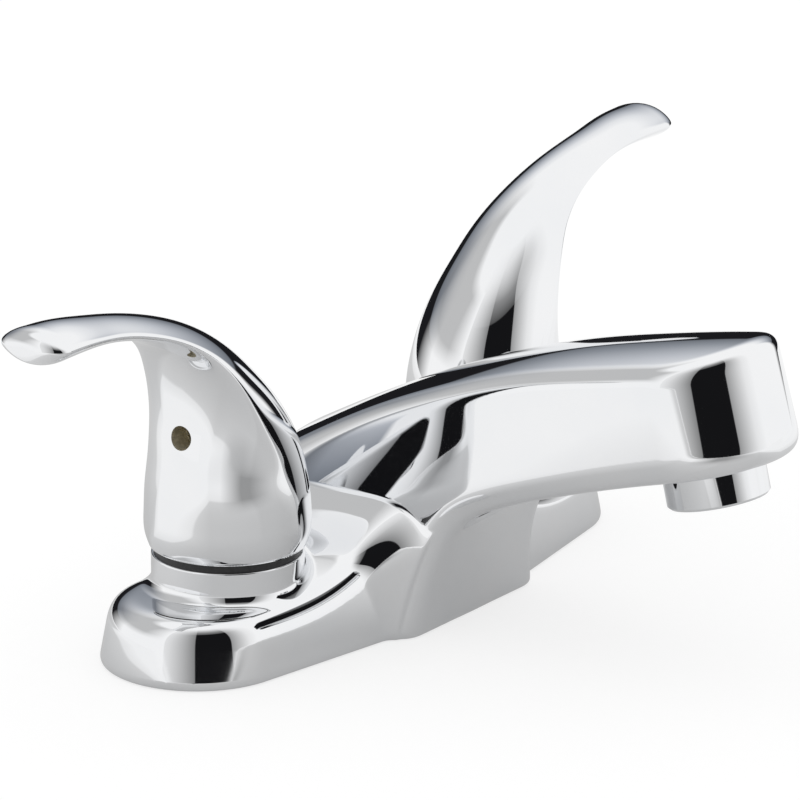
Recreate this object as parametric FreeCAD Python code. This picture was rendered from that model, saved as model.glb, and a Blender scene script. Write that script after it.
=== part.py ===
import FreeCAD, Part
import math
import os
from FreeCAD import Vector, Placement, Rotation

# Two-handle centerset basin faucet: one chromed casting with its deck base, two valve collars and spout,
# a lever handle on each valve, and the valves, waterways and deck fixings inside and below it.
# Millimetres. Z is up and z = 0 is the deck. The spout points to -Y, hot is at -X and cold at +X.

# Handle centres and deck base
centre_spacing = 101.6
base_end_x = 61.8
base_end_radius = 22.7
wing_flare_deg = 9.4
wing_apex_radius = 60.0
tongue_front_y = 33.0
base_draft = 0.19
base_end_height = 15.3
base_collar_height = 15.7
base_wing_height = 19.0
base_centre_height = 27.0
base_edge_radius = 4.8
casting_wall = 3.0

# Spout
aerator_reach = 99.3
aerator_bottom = 40.8
aerator_tilt_deg = 13.7
aerator_drop = 7.2
head_radius = 20.2
head_flare_low = 1.6
head_taper_high = 1.3
spout_height = 78.4
spout_crown_radius = 60.0
spout_top_edge_radius = 3.0
spout_low_edge_radius = 5.0
spout_wall = 4.0

# Aerator
aerator_radius = 11.75
aerator_step = 1.35
aerator_thread_length = 7.0
aerator_wall = 1.6
aerator_lip = 1.3
washer_section = 2.0
insert_height = 8.0
screen_thickness = 1.0
head_chamber_inset = 2.4
head_chamber_height = 9.0
waterway_radius = 5.5
waterway_width = 26.0

# Valve bodies and waterways under the casting
barrel_radius = 12.4
barrel_wall = 2.9
barrel_rise = 4.8
flange_width = 2.8
flange_thickness = 2.5
shank_step = 0.8
shank_length = 58.0
supply_radius = 10.4
supply_length = 20.0
supply_wall = 4.2
valve_floor = 3.0
seat_radius = 4.4
seat_hole = 1.8
seat_well_depth = 8.2
seat_height = 3.4
spring_wire = 0.9
port_radius = 2.8
cross_tube_radius = 3.6
tube_socket_depth = 2.2
tee_half_length = 9.0
tee_half_width = 7.5
tee_wall = 0.8
tee_headroom = 1.2
riser_y = -4.0
riser_radius = 7.0
riser_bore = 3.5
riser_top = 30.0
riser_ring_depth = 4.0
riser_ring_section = 0.7

# Stem units
sleeve_flange_inset = 0.3
sleeve_flange_thickness = 2.0
nut_wall = 2.25
nut_lip = 2.0
nut_notch = 3.0
stem_radius = 5.2
stem_shoulder_width = 1.4
stem_shoulder_height = 4.8
stem_collar_width = 1.0
stem_collar_rise = 3.8
spline_step = 0.7
spline_length = 24.0
stem_flat_depth = 0.6
stem_port_radius = 2.2
stem_ring_rise = 15.0
stem_ring_section = 0.6
glide_ring_width = 1.95
glide_ring_height = 2.4
glide_ring_inset = 0.6

# Collar under each handle, above the deck
collar_top = 23.2
collar_flare = 2.0
collar_flare_top = 17.6

# Lever handles
hub_wall = 3.5
hub_cavity_gap = 0.8
hub_core_wall = 3.0
hub_core_depth = 10.0
hub_boss_wall = 3.1
lever_reach = 71.6
set_screw_drop = 6.0
set_screw_radius = 2.4
set_screw_length = 7.0
set_screw_key = 1.3
set_screw_recess = 0.4

# Deck gasket and fixings under the deck
gasket_thickness = 2.0
deck_thickness = 20.0
washer_width = 7.4
washer_thickness = 2.0
wing_nut_wall = 3.9
wing_nut_flange = 2.5
wing_nut_height = 12.0
wing_length = 8.0
wing_thickness = 4.0

# Clearances
slip = 0.15
running = 0.05
hub_clearance = 0.3

# What fits together, from the valve barrel outwards and from the collar upwards
half_spacing = centre_spacing / 2
tilt = math.radians(aerator_tilt_deg)
valve_bore = barrel_radius - barrel_wall
flange_radius = barrel_radius + flange_width
shank_radius = barrel_radius - shank_step
shank_bore = supply_radius - supply_wall
nut_radius = barrel_radius + slip + nut_wall
glide_ring_radius = nut_radius + slip + glide_ring_width
collar_radius = glide_ring_radius + glide_ring_inset
hub_cavity_radius = nut_radius + hub_cavity_gap
hub_radius = hub_cavity_radius + hub_wall
hub_core_radius = hub_cavity_radius - hub_core_wall
stem_shoulder_radius = stem_radius + stem_shoulder_width
stem_collar_radius = stem_radius + stem_collar_width
spline_radius = stem_radius - spline_step
stem_flat = spline_radius - stem_flat_depth
hub_boss_radius = spline_radius + hub_boss_wall
tee_height = 2 * (cross_tube_radius + tee_wall)
port_height = gasket_thickness + cross_tube_radius + 2 * slip
cavity_height = gasket_thickness + tee_height + tee_headroom
riser_groove = riser_top - riser_ring_depth
barrel_top = collar_top + barrel_rise
nut_height = barrel_rise + sleeve_flange_thickness + slip + nut_lip
hub_bottom = collar_top + glide_ring_height + hub_clearance
stem_collar_top = collar_top + nut_height + stem_collar_rise
stem_top = stem_collar_top + spline_length
hub_core_top = stem_collar_top + hub_core_depth
stem_ring_height = valve_floor + stem_ring_rise
set_screw_height = stem_top - set_screw_drop
aerator_thread_radius = aerator_radius - aerator_step
aerator_socket_depth = aerator_drop + aerator_thread_length + washer_section
wing_nut_radius = shank_radius + wing_nut_wall


def rounded_wire(corners, radii, place):
    # closed outline through the corners, each rounded with its own tangent arc
    count = len(corners)
    starts = []
    ends = []
    middles = []
    for i in range(count):
        here = Vector(*corners[i], 0)
        before = (Vector(*corners[i - 1], 0) - here).normalize()
        after = (Vector(*corners[(i + 1) % count], 0) - here).normalize()
        half = before.getAngle(after) / 2
        reach = radii[i] / math.tan(half)
        axis = (before + after).normalize()
        centre = here + axis * (radii[i] / math.sin(half))
        starts.append(here + before * reach)
        ends.append(here + after * reach)
        middles.append(centre - axis * radii[i])
    edges = []
    for i in range(count):
        edges.append(Part.Arc(place(starts[i]), place(middles[i]), place(ends[i])).toShape())
        edges.append(Part.makeLine(place(ends[i]), place(starts[(i + 1) % count])))
    return Part.Wire(edges)


def crossing(a, b):
    # where two lines, each a point and a direction, meet
    (ax, ay), (au, av) = a
    (bx, by), (bu, bv) = b
    t = ((bx - ax) * bv - (by - ay) * bu) / (au * bv - av * bu)
    return (ax + au * t, ay + av * t)


def base_outline(inset, z):
    # plan of the deck base: two round ends joined by a straight back and flared front wings
    flare = math.radians(wing_flare_deg)
    r = base_end_radius - inset
    wing_start = (-base_end_x - r * math.sin(flare), -r * math.cos(flare))
    wing = (wing_start, (math.cos(flare), -math.sin(flare)))
    end = crossing(((0, r), (1, 0)), wing)
    apex = crossing(wing, ((0, 0), (0, 1)))
    corners = [end, apex, (-end[0], end[1])]
    return rounded_wire(corners, [r, wing_apex_radius - inset, r], lambda p: Vector(p.x, p.y, z))


def base_top_profile(lower):
    # front view of the base top: it rises from the round ends to the foot of the spout
    half = [
        (base_end_x + 1.26 * base_end_radius, base_end_height - 0.6 - lower),
        (base_end_x + 0.35 * base_end_radius, base_end_height - lower),
        (half_spacing, base_collar_height - lower),
        (0.71 * half_spacing, base_wing_height - lower),
        (0.43 * half_spacing, base_centre_height - 2 - lower),
        (0, base_centre_height - lower),
    ]
    points = [Vector(-x, 0, z) for x, z in half] + [Vector(x, 0, z) for x, z in reversed(half[:-1])]
    curve = Part.BSplineCurve()
    curve.interpolate(points)
    first, last = points[0], points[-1]
    low_first = Vector(first.x, 0, -1)
    low_last = Vector(last.x, 0, -1)
    corners = [last, low_last, low_first, first]
    sides = [Part.makeLine(a, b) for a, b in zip(corners, corners[1:])]
    face = Part.Face(Part.Wire([curve.toShape()] + sides))
    depth = 3 * base_end_radius
    face.translate(Vector(0, -depth, 0))
    return face.extrude(Vector(0, 2 * depth, 0))


def base_form(inset, foot):
    # drafted base with its sloping top, inset all round and starting at height foot
    height = 1.5 * base_centre_height
    low = base_outline(inset + base_draft * foot, foot)
    high = base_outline(inset + base_draft * height, height)
    block = Part.makeLoft([low, high], True, True)
    return block.common(base_top_profile(inset))


def head_point(x, v, n):
    # a point from the spout head's own frame: v runs back along the spout, n up the aerator axis
    y = -aerator_reach + v * math.cos(tilt) + n * math.sin(tilt)
    z = aerator_bottom - v * math.sin(tilt) + n * math.cos(tilt)
    return Vector(x, y, z)


# plan of the spout: distance back from the aerator axis as a share of the reach, then the half widths
# low down and high up as shares of the head radius
spout_plan = [
    (0.222, 1.119, 0.925),
    (0.453, 1.184, 0.871),
    (0.604, 1.228, 0.841),
    (0.765, 1.495, 0.688),
    (0.926, 1.831, 0.554),
    (1.128, 2.277, 0.416),
    (1.329, 2.574, 0.322),
]


def spout_outline(inset, n):
    # plan of the spout walls at height n along the aerator axis, which is low below it and high above
    low = n < 0
    radius = head_radius + (head_flare_low if low else -head_taper_high) - inset
    sides = []
    for back, wide, slim in spout_plan:
        sides.append((head_radius * (wide if low else slim) - inset, aerator_reach * back))
    right = [head_point(radius, 0, n)] + [head_point(w, v, n) for w, v in sides]
    left = [head_point(-radius, 0, n)] + [head_point(-w, v, n) for w, v in sides]
    backwards = Vector(0, math.cos(tilt), -math.sin(tilt))
    right_curve = Part.BSplineCurve()
    right_curve.interpolate(right, InitialTangent=backwards, FinalTangent=right[-1] - right[-2])
    left_curve = Part.BSplineCurve()
    left_curve.interpolate(left, InitialTangent=backwards, FinalTangent=left[-1] - left[-2])
    nose = Part.Arc(left[0], head_point(0, -radius, n), right[0])
    tail = Part.makeLine(right[-1], left[-1])
    return Part.Wire([nose.toShape(), right_curve.toShape(), tail, left_curve.toShape()])


# centre line of the spout's top: y behind the back wall as a share of the base's half depth or, in front,
# of the reach, then the height as a share of the spout height
spout_top_back = [(1.762, 0.325), (0.969, 0.429), (0.379, 0.519)]
spout_top_front = [
    (0.117, 0.654), (0.342, 0.781), (0.554, 0.875), (0.785, 0.946), (1.007, 1.0), (1.289, 1.046),
]

# centre line of its underside from the foot of the tongue: share of the way from the tongue to the heel
# of the head, then the height as a share of the head's own underside
spout_under = [
    (0.0, 0.0), (0.018, 0.188), (0.065, 0.397), (0.155, 0.573), (0.327, 0.697), (0.585, 0.808),
    (0.931, 0.933),
]


def spout_top_line():
    back = [(base_end_radius * share, spout_height * rise) for share, rise in spout_top_back]
    front = [(-aerator_reach * share, spout_height * rise) for share, rise in spout_top_front]
    return back + front


def head_heel(lower):
    # where the flat underside of the head starts, half its radius behind the aerator axis
    return head_point(0, head_radius / 2, aerator_drop + lower)


def spout_under_line():
    length = -head_heel(0).y - tongue_front_y
    underside = aerator_bottom + aerator_drop
    return [(-tongue_front_y - length * share, underside * rise) for share, rise in spout_under]


def spout_station(y, z, lower):
    # one cross-section of the crowned top, closed well below the spout
    w = 0.8 * spout_crown_radius
    sag = spout_crown_radius - math.sqrt(spout_crown_radius ** 2 - w ** 2)
    top = z - lower
    arc = Part.Arc(Vector(-w, y, top - sag), Vector(0, y, top), Vector(w, y, top - sag))
    low = -0.75 * spout_height
    corners = [Vector(w, y, top - sag), Vector(w, y, low), Vector(-w, y, low), Vector(-w, y, top - sag)]
    return Part.Wire([arc.toShape()] + [Part.makeLine(a, b) for a, b in zip(corners, corners[1:])])


def spout_underside(lower):
    # everything below the spout and in front of the tongue, as a cutter
    side = 3 * head_radius
    curl = aerator_bottom / 2
    points = []
    for y, z in spout_under_line():
        if z < curl:
            points.append(Vector(-side, y + lower, z))
        else:
            points.append(Vector(-side, y, z + lower))
    head = head_heel(lower)
    slope = Vector(0, -math.cos(tilt), math.sin(tilt))
    points.append(head - Vector(side, 0, 0))
    curve = Part.BSplineCurve()
    curve.interpolate(points, InitialTangent=Vector(0, 0, 1), FinalTangent=slope)
    tip = head + slope * (3 * head_radius) - Vector(side, 0, 0)
    low = Vector(-side, tip.y, -2 * aerator_bottom)
    heel = Vector(-side, points[0].y, -2 * aerator_bottom)
    corners = [points[-1], tip, low, heel, points[0]]
    lines = [Part.makeLine(a, b) for a, b in zip(corners, corners[1:])]
    return Part.Face(Part.Wire([curve.toShape()] + lines)).extrude(Vector(2 * side, 0, 0))


def spout_form(inset):
    # plan walls, crowned top and underside of the spout, each set in by the same amount
    low, high = -1.1 * aerator_bottom, 0.765 * spout_height
    walls = Part.makeLoft([spout_outline(inset, low), spout_outline(inset, high)], True, True)
    crown = Part.makeLoft([spout_station(y, z, inset) for y, z in spout_top_line()], True)
    return walls.common(crown).cut(spout_underside(inset))


def turned(profile, x=0.0):
    # solid of revolution about the vertical through (x, 0), from (radius, height) pairs
    points = [Vector(x + r, 0, z) for r, z in profile]
    face = Part.Face(Part.makePolygon(points + points[:1]))
    return face.revolve(Vector(x, 0, 0), Vector(0, 0, 1), 360)


def tube(outer, inner, low, high, x=0.0):
    return turned([(inner, low), (outer, low), (outer, high), (inner, high)], x)


def rod(radius, low, high, x=0.0):
    return Part.makeCylinder(radius, high - low, Vector(x, 0, low))


def above(z, height):
    # a slab wider than the whole casting, from z up
    side = 4 * (base_end_x + aerator_reach)
    return Part.makeBox(side, side, height, Vector(-side / 2, -side / 2, z))


def moved(shape, x, y, z):
    copy = shape.copy()
    copy.translate(Vector(x, y, z))
    return copy


def across(radius, start, end, y, z):
    # cylinder along X between two x positions
    low, high = min(start, end), max(start, end)
    return Part.makeCylinder(radius, high - low, Vector(low, y, z), Vector(1, 0, 0))


def rounded(shape, radius, wanted):
    return shape.makeFillet(radius, [edge for edge in shape.Edges if wanted(edge.BoundBox, edge.Length)])


def on_head(shape):
    # from upright at the origin to the tilted axis of the aerator
    turn = Rotation(Vector(1, 0, 0), -aerator_tilt_deg)
    placed = shape.copy()
    placed.Placement = Placement(head_point(0, 0, 0), turn)
    return placed


def behind_back_wall():
    # everything behind the drafted back wall of the base
    low, high = -0.5 * base_end_radius, 1.5 * spout_height
    far = 5 * base_end_radius
    corners = [
        (base_end_radius - base_draft * low, low), (base_end_radius - base_draft * high, high),
        (far, high), (far, low),
    ]
    wall = [Vector(-far, y, z) for y, z in corners]
    return Part.Face(Part.makePolygon(wall + wall[:1])).extrude(Vector(2 * far, 0, 0))


def is_spout_top(box, length):
    long_side = box.YLength > aerator_reach and box.ZMax > 0.8 * spout_height
    nose = box.ZMax > 0.9 * spout_height and box.XLength > head_radius
    back = box.YMin > base_end_radius / 2 and box.ZMin > 0.3 * spout_height and box.XLength > head_radius
    return long_side or nose or back


def is_spout_low(box, length):
    in_front = box.YMax < -tongue_front_y + 1
    long_side = in_front and box.YLength > (aerator_reach - tongue_front_y) / 2 and box.ZMin < base_end_height / 3
    head = box.ZMin > 0.95 * aerator_bottom and box.ZMax < 1.4 * aerator_bottom and box.YLength > 1
    return long_side or head


def collar(x):
    foot = collar_radius + collar_flare
    profile = [
        (0, port_height + 1), (foot, port_height + 1), (foot, base_collar_height - 0.4),
        (collar_radius + 0.7, base_collar_height + 0.5), (collar_radius, collar_flare_top),
        (collar_radius, collar_top - 0.3), (collar_radius - 0.3, collar_top), (0, collar_top),
    ]
    return turned(profile, x)


def waterway():
    # cored passage from the riser socket up and along the spout to the chamber above the aerator
    core = spout_form(spout_wall)
    front = head_point(0, 0, 0).y + aerator_radius + spout_wall
    room = Part.makeBox(waterway_width, riser_y - front + riser_radius, 2 * spout_height,
                        Vector(-waterway_width / 2, front, riser_top + spout_wall))
    riser = moved(rod(riser_radius - 2, riser_top - 1, riser_top + 2 * spout_wall), 0, riser_y, 0)
    link_height = aerator_socket_depth + waterway_radius + 0.5
    start = head_point(0, 0, link_height)
    end = head_point(0, aerator_radius + 3 * spout_wall, link_height)
    link = Part.makeCylinder(waterway_radius, (end - start).Length, start, end - start)
    chamber_top = aerator_socket_depth + head_chamber_height + 3
    chamber = on_head(rod(aerator_thread_radius - head_chamber_inset, aerator_socket_depth - 1, chamber_top))
    return [core.common(room), riser, link.common(core), chamber.common(core)]


def spout_body():
    base = rounded(base_form(0, 0), base_edge_radius, lambda box, length: box.ZMin > base_end_height / 2)
    spout = spout_form(0).cut(behind_back_wall())
    spout = spout.common(above(0, 3 * spout_height))
    spout = rounded(spout, spout_low_edge_radius, is_spout_low)
    spout = rounded(spout, spout_top_edge_radius, is_spout_top)
    body = base.fuse([spout, collar(-half_spacing), collar(half_spacing)])
    hollow = base_form(casting_wall, -1).common(above(-1, cavity_height + 1))
    bores = [rod(barrel_radius + slip, -1, collar_top + 1, x) for x in (-half_spacing, half_spacing)]
    riser_socket = moved(rod(riser_radius + slip, -1, riser_top), 0, riser_y, 0)
    aerator_socket = on_head(rod(aerator_thread_radius + slip, -aerator_drop, aerator_socket_depth))
    return body.cut([hollow, riser_socket, aerator_socket] + bores + waterway())


def valve_body(side):
    # brass barrel and threaded shank in one, with its flange drawn up against the inside of the casting
    x = side * half_spacing
    flange_top = cavity_height
    profile = [
        (0, -shank_length), (supply_radius, -shank_length), (supply_radius, supply_length - shank_length),
        (shank_radius, supply_length - shank_length), (shank_radius, gasket_thickness),
        (barrel_radius, gasket_thickness), (barrel_radius, flange_top - flange_thickness),
        (flange_radius, flange_top - flange_thickness), (flange_radius, flange_top),
        (barrel_radius, flange_top), (barrel_radius, barrel_top), (0, barrel_top),
    ]
    body = turned(profile, x)
    well_floor = valve_floor - seat_well_depth
    body = body.cut([
        rod(valve_bore, valve_floor, barrel_top + 1, x),
        rod(seat_radius + slip, well_floor, valve_floor + 1, x),
        rod(seat_radius - 1, well_floor - 3, well_floor + 1, x),
        rod(shank_bore, -shank_length - 1, well_floor - 2, x),
    ])
    face = side * (half_spacing - barrel_radius)
    floor = face + side * tube_socket_depth
    socket = across(cross_tube_radius + slip, face - side, floor, 0, port_height)
    port = across(port_radius, face, x, 0, port_height)
    return body.cut([socket, port])


def crossover_tube(side):
    outer_end = side * (half_spacing - barrel_radius + tube_socket_depth)
    inner_end = side * (tee_half_length - tube_socket_depth)
    tube = across(cross_tube_radius, outer_end, inner_end, 0, port_height)
    return tube.cut(across(port_radius, outer_end * 1.1, inner_end * 0.5, 0, port_height))


def mixing_tee():
    # moulded tee whose riser plugs into the casting
    block = Part.makeBox(2 * tee_half_length, 2 * tee_half_width, tee_height,
                         Vector(-tee_half_length, riser_y - tee_half_width, gasket_thickness))
    block = rounded(block, 2.0, lambda box, length: box.ZLength > tee_height / 2)
    groove = riser_radius - 2 * riser_ring_section + slip - 0.03
    groove_low = riser_groove - riser_ring_section - 0.1
    groove_high = riser_groove + riser_ring_section + 0.1
    riser = turned([
        (0, gasket_thickness), (riser_radius, gasket_thickness),
        (riser_radius, groove_low), (groove, groove_low), (groove, groove_high), (riser_radius, groove_high),
        (riser_radius, riser_top - 0.5), (riser_radius - 0.5, riser_top), (0, riser_top),
    ])
    tee = block.fuse(moved(riser, 0, riser_y, 0))
    cuts = [moved(rod(riser_bore, port_height, riser_top + 1), 0, riser_y, 0)]
    cuts.append(across(port_radius, -tee_half_length, tee_half_length, 0, port_height))
    for side in (-1, 1):
        mouth = side * (tee_half_length + 1)
        floor = side * (tee_half_length - tube_socket_depth)
        cuts.append(across(cross_tube_radius + slip, mouth, floor, 0, port_height))
    return tee.cut(cuts)


def riser_o_ring():
    centre_radius = riser_radius + slip - riser_ring_section - 0.02
    return Part.makeTorus(centre_radius, riser_ring_section, Vector(0, riser_y, riser_groove))


def stem_sleeve(side):
    # moulded stem sleeve with its window facing the crossover port
    x = side * half_spacing
    outer = valve_bore - slip
    flange = barrel_radius - sleeve_flange_inset
    shoulder = barrel_top + sleeve_flange_thickness - stem_shoulder_height
    sleeve = turned([
        (stem_radius + running, valve_floor), (outer, valve_floor), (outer, barrel_top),
        (flange, barrel_top), (flange, barrel_top + sleeve_flange_thickness),
        (stem_shoulder_radius + running, barrel_top + sleeve_flange_thickness),
        (stem_shoulder_radius + running, shoulder), (stem_radius + running, shoulder),
    ], x)
    return sleeve.cut(across(port_radius, x, x - side * (outer + 1), 0, port_height))


def valve_seat(side):
    x = side * half_spacing
    low = valve_floor - seat_height
    return turned([(seat_hole, low), (seat_radius, low), (seat_radius, valve_floor - 0.8),
                   (seat_radius - 1.0, valve_floor), (seat_hole, valve_floor)], x)


def seat_spring(side):
    # tapered seat spring, as the closed sleeve its coils fill
    x = side * half_spacing
    low = valve_floor - seat_well_depth
    high = valve_floor - seat_height
    return turned([(seat_radius - spring_wire, low), (seat_radius, low), (seat_radius - 0.6, high),
                   (seat_radius - 0.6 - spring_wire, high)], x)


def bonnet_nut(side):
    x = side * half_spacing
    low, high = collar_top, collar_top + nut_height
    nut = turned([
        (barrel_radius + slip, low), (nut_radius, low), (nut_radius, high - 0.8), (nut_radius - 0.8, high),
        (stem_collar_radius + 2 * slip, high), (stem_collar_radius + 2 * slip, high - nut_lip),
        (barrel_radius + slip, high - nut_lip),
    ], x)
    notches = []
    for k in range(6):
        notch = Part.makeBox(4, nut_notch, 4, Vector(nut_radius - 1.6, -nut_notch / 2, high - 3))
        notch.rotate(Vector(0, 0, 0), Vector(0, 0, 1), 60 * k)
        notches.append(moved(notch, x, 0, 0))
    return nut.cut(notches)


def glide_ring(side):
    top = collar_top + glide_ring_height
    return tube(glide_ring_radius, nut_radius + slip, collar_top, top, side * half_spacing)


def stem(side):
    # turned stem: waterway slot at the foot, ring groove, shoulder under the nut and the flatted drive end
    x = side * half_spacing
    foot = valve_floor + running
    groove = stem_radius - 2 * stem_ring_section + running - 0.03
    g_low = stem_ring_height - stem_ring_section - 0.1
    g_high = stem_ring_height + stem_ring_section + 0.1
    top = barrel_top + sleeve_flange_thickness
    shoulder = top - stem_shoulder_height + running
    body = turned([
        (0, foot), (stem_radius, foot), (stem_radius, g_low), (groove, g_low), (groove, g_high),
        (stem_radius, g_high), (stem_radius, shoulder), (stem_shoulder_radius, shoulder),
        (stem_shoulder_radius, top), (stem_collar_radius, top), (stem_collar_radius, stem_collar_top),
        (spline_radius, stem_collar_top), (spline_radius, stem_top - 0.6), (spline_radius - 0.6, stem_top),
        (0, stem_top),
    ], x)
    flat_length = stem_top - stem_collar_top
    flat = Part.makeBox(stem_radius, 4 * stem_radius, flat_length,
                        Vector(stem_flat, -2 * stem_radius, stem_collar_top + 1))
    if side < 0:
        flat.rotate(Vector(0, 0, 0), Vector(0, 0, 1), 180)
    inlet = rod(stem_port_radius, valve_floor - 1, port_height, x)
    outlet = Part.makeCylinder(stem_port_radius, stem_radius + 1, Vector(x, 0, port_height), Vector(0, -1, 0))
    return body.cut([moved(flat, x, 0, 0), inlet, outlet])


def stem_o_ring(side):
    centre_radius = stem_radius + running - stem_ring_section - 0.02
    return Part.makeTorus(centre_radius, stem_ring_section, Vector(side * half_spacing, 0, stem_ring_height))


# Sections from the hub's foot to the lever's tip. Each gives the point on the inner or top face and the
# point on the outward or under face as (outward, height above the hub's foot), the half width, and where
# along the section it is widest. Widths and places out are shares of the hub radius, or of the reach.
hub_sections = [
    ((-0.901, 0.0), (0.901, 0.0), 0.901, 0.50),
    ((-0.963, 1.5), (0.963, 1.5), 0.963, 0.50),
    ((-1.000, 7.1), (1.000, 6.5), 1.000, 0.50),
    ((-0.953, 14.6), (0.990, 12.6), 0.984, 0.51),
    ((-0.838, 22.9), (0.945, 18.9), 0.927, 0.52),
    ((-0.670, 29.1), (0.905, 24.6), 0.885, 0.51),
    ((-0.435, 35.3), (0.880, 29.6), 0.838, 0.48),
    ((-0.126, 41.5), (0.865, 34.6), 0.785, 0.43),
    ((0.262, 48.0), (0.900, 39.6), 0.728, 0.38),
]
lever_sections = [
    ((0.203, 54.1), (0.280, 45.4), 0.168, 0.34),
    ((0.356, 58.7), (0.363, 51.3), 0.144, 0.35),
    ((0.517, 62.0), (0.492, 55.5), 0.126, 0.38),
    ((0.684, 64.4), (0.662, 57.8), 0.117, 0.42),
    ((0.831, 65.9), (0.820, 58.0), 0.130, 0.45),
    ((0.929, 66.2), (0.919, 57.8), 0.137, 0.50),
    ((0.980, 65.7), (0.968, 58.1), 0.130, 0.50),
    ((1.000, 64.4), (0.992, 59.6), 0.108, 0.50),
]


def lever_section(side, unit, inner, outer, width, share):
    x = side * half_spacing
    top = Vector(x + side * unit * inner[0], 0, hub_bottom + inner[1])
    under = Vector(x + side * unit * outer[0], 0, hub_bottom + outer[1])
    middle = top + (under - top) * share
    left = Vector(middle.x, -unit * width, middle.z)
    right = Vector(middle.x, unit * width, middle.z)
    return Part.Wire([Part.Arc(left, top, right).toShape(), Part.Arc(right, under, left).toShape()])


def handle(side):
    x = side * half_spacing
    sections = [lever_section(side, hub_radius, *row) for row in hub_sections]
    sections += [lever_section(side, lever_reach, *row) for row in lever_sections]
    lever = Part.makeLoft(sections, True)
    cuts = [rod(hub_cavity_radius, hub_bottom - 1, stem_collar_top, x)]
    cuts.append(tube(hub_core_radius, hub_boss_radius, stem_collar_top - 1, hub_core_top, x))
    cuts.append(rod(spline_radius + slip, stem_collar_top - 1, stem_top + 0.5, x))
    screw_end = stem_flat + set_screw_length
    cuts.append(across(set_screw_radius + slip, x, x + side * (screw_end + 1), 0, set_screw_height))
    hole_radius = set_screw_radius + set_screw_recess
    outside = x + side * 2 * hub_radius
    cuts.append(across(hole_radius, x + side * (screw_end + 0.5), outside, 0, set_screw_height))
    return lever.cut(cuts)


def set_screw(side):
    x = side * half_spacing
    start = stem_flat + running
    end = start + set_screw_length
    screw = across(set_screw_radius, x + side * start, x + side * end, 0, set_screw_height)
    key = Part.makePolygon([Vector(0, set_screw_key * math.cos(math.radians(60 * k)),
                                   set_screw_key * math.sin(math.radians(60 * k))) for k in range(7)])
    socket = Part.Face(key).extrude(Vector(side * 4, 0, 0))
    return screw.cut(moved(socket, x + side * (end - 2.5), 0, set_screw_height))


def base_gasket():
    outline = base_outline(casting_wall + base_draft * gasket_thickness + slip, 0)
    plate = Part.Face(outline).extrude(Vector(0, 0, gasket_thickness))
    holes = [rod(barrel_radius + slip, -1, gasket_thickness + 1, x) for x in (-half_spacing, half_spacing)]
    return plate.cut(holes)


def deck_washer(side):
    top = -deck_thickness
    outer = shank_radius + washer_width
    return tube(outer, shank_radius + slip, top - washer_thickness, top, side * half_spacing)


def wing_nut(side):
    x = side * half_spacing
    top = -deck_thickness - washer_thickness
    low = top - wing_nut_height
    nut = rod(wing_nut_radius, low, top)
    wings = []
    for k in range(4):
        reach = wing_nut_radius + wing_length
        wing = Part.makeBox(reach, wing_thickness, wing_nut_height, Vector(0, -wing_thickness / 2, low))
        wing.rotate(Vector(0, 0, 0), Vector(0, 0, 1), 90 * k + 45)
        wings.append(wing)
    flange = rod(wing_nut_radius + wing_nut_flange, top - wing_nut_flange, top)
    nut = nut.fuse(wings + [flange]).removeSplitter()
    return moved(nut.cut(rod(shank_radius + slip, low - 1, top + 1)), x, 0, 0)


def aerator_housing():
    thread_top = aerator_drop + aerator_thread_length
    inner = aerator_thread_radius - aerator_wall
    return on_head(turned([
        (inner - 0.6, 0), (aerator_radius - 0.6, 0), (aerator_radius, 0.6), (aerator_radius, aerator_drop),
        (aerator_thread_radius, aerator_drop), (aerator_thread_radius, thread_top), (inner, thread_top),
        (inner, aerator_lip), (inner - 0.6, aerator_lip),
    ]))


def holed_disc(radius, low, high, hole, rings):
    holes = []
    for share, count in rings:
        for k in range(count):
            a = 2 * math.pi * k / count
            hole_x = share * radius * math.cos(a)
            hole_y = share * radius * math.sin(a)
            holes.append(moved(rod(hole, low - 1, high + 1), hole_x, hole_y, 0))
    return rod(radius, low, high).cut(holes)


def aerator_screen():
    radius = aerator_thread_radius - aerator_wall - slip
    top = aerator_lip + screen_thickness
    return on_head(holed_disc(radius, aerator_lip, top, 0.8, [(0.3, 6), (0.62, 12)]))


def aerator_insert():
    radius = aerator_thread_radius - aerator_wall - slip
    low = aerator_lip + screen_thickness
    ledge = low + insert_height - 2
    disc = holed_disc(radius, ledge, low + insert_height, 0.7, [(0.39, 6), (0.69, 12)])
    return on_head(disc.fuse([tube(radius, radius - 1.2, low, ledge), rod(2.0, low, ledge)]))


def aerator_washer():
    low = aerator_drop + aerator_thread_length
    inner = aerator_thread_radius - aerator_wall - 1
    return on_head(tube(aerator_thread_radius - slip, inner, low, low + washer_section - 0.1))


def write(name, shape):
    solid = shape.Solids[0] if len(shape.Solids) == 1 else shape
    state = "valid" if solid.isValid() else "NOT VALID"
    print(name, state, len(shape.Solids), "solid", round(shape.Volume), "mm3")
    solid.exportStep("parts/" + name + ".step")


os.makedirs("parts", exist_ok=True)
write("spout_body", spout_body())
write("base_gasket", base_gasket())
write("mixing_tee", mixing_tee())
write("riser_o_ring", riser_o_ring())
write("aerator_housing", aerator_housing())
write("aerator_screen", aerator_screen())
write("aerator_insert", aerator_insert())
write("aerator_washer", aerator_washer())
for label, side in (("hot", -1), ("cold", 1)):
    write("valve_body_" + label, valve_body(side))
    write("crossover_tube_" + label, crossover_tube(side))
    write("stem_sleeve_" + label, stem_sleeve(side))
    write("valve_seat_" + label, valve_seat(side))
    write("seat_spring_" + label, seat_spring(side))
    write("bonnet_nut_" + label, bonnet_nut(side))
    write("glide_ring_" + label, glide_ring(side))
    write("stem_" + label, stem(side))
    write("stem_o_ring_" + label, stem_o_ring(side))
    write("handle_" + label, handle(side))
    write("set_screw_" + label, set_screw(side))
    write("deck_washer_" + label, deck_washer(side))
    write("wing_nut_" + label, wing_nut(side))
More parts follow.
